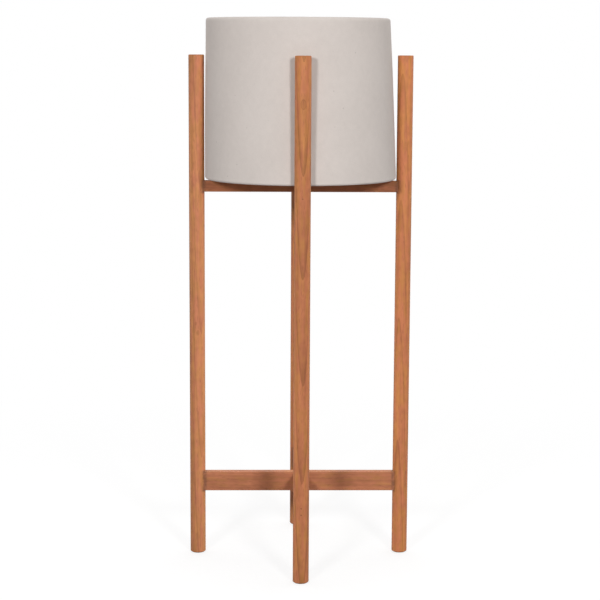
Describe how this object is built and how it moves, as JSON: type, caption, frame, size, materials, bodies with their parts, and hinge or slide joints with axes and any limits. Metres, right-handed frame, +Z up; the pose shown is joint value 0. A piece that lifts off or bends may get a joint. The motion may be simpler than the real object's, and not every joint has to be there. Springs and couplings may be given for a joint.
{
  "type": "planter with stand",
  "caption": "Round cement planter pot held high between the legs of a slim oiled-wood stand with a low cross and an upper cross.",
  "frame": {"origin": "on the floor, under the middle of the pot", "axes": "+Z up; -Y towards the front leg; +X to the viewer's right"},
  "size_m": [0.372, 0.372, 0.906],
  "materials": {
    "wood": "oiled teak",
    "pot": "matt cast fibre cement",
    "rubber": "matt",
    "felt": "pressed felt",
    "steel": "set brads, darkened by wax filler"
  },
  "bodies": {
    "stand": {"front_leg": "wood", "back_leg": "wood", "left_leg": "wood", "right_leg": "wood", "lower_bar_side_to_side": "wood", "lower_bar_front_to_back": "wood", "upper_bar_side_to_side": "wood", "upper_bar_front_to_back": "wood", "joint_brads": "steel", "rest_pad_front": "rubber", "rest_pad_back": "rubber", "rest_pad_left": "rubber", "rest_pad_right": "rubber", "foot_pad_front": "felt", "foot_pad_back": "felt", "foot_pad_left": "felt", "foot_pad_right": "felt"},
    "pot": {"pot": "pot"},
    "drain_plug": {"drain_plug": "rubber"}
  },
  "joints": [
    {"name": "pot_lift", "type": "slide", "parent": "stand", "child": "pot", "axis": [0, 0, 1], "range_m": [0, 0.26]},
    {"name": "plug_pull", "type": "slide", "parent": "pot", "child": "drain_plug", "axis": [0, 0, 1], "range_m": [0, 0.3]}
  ]
}
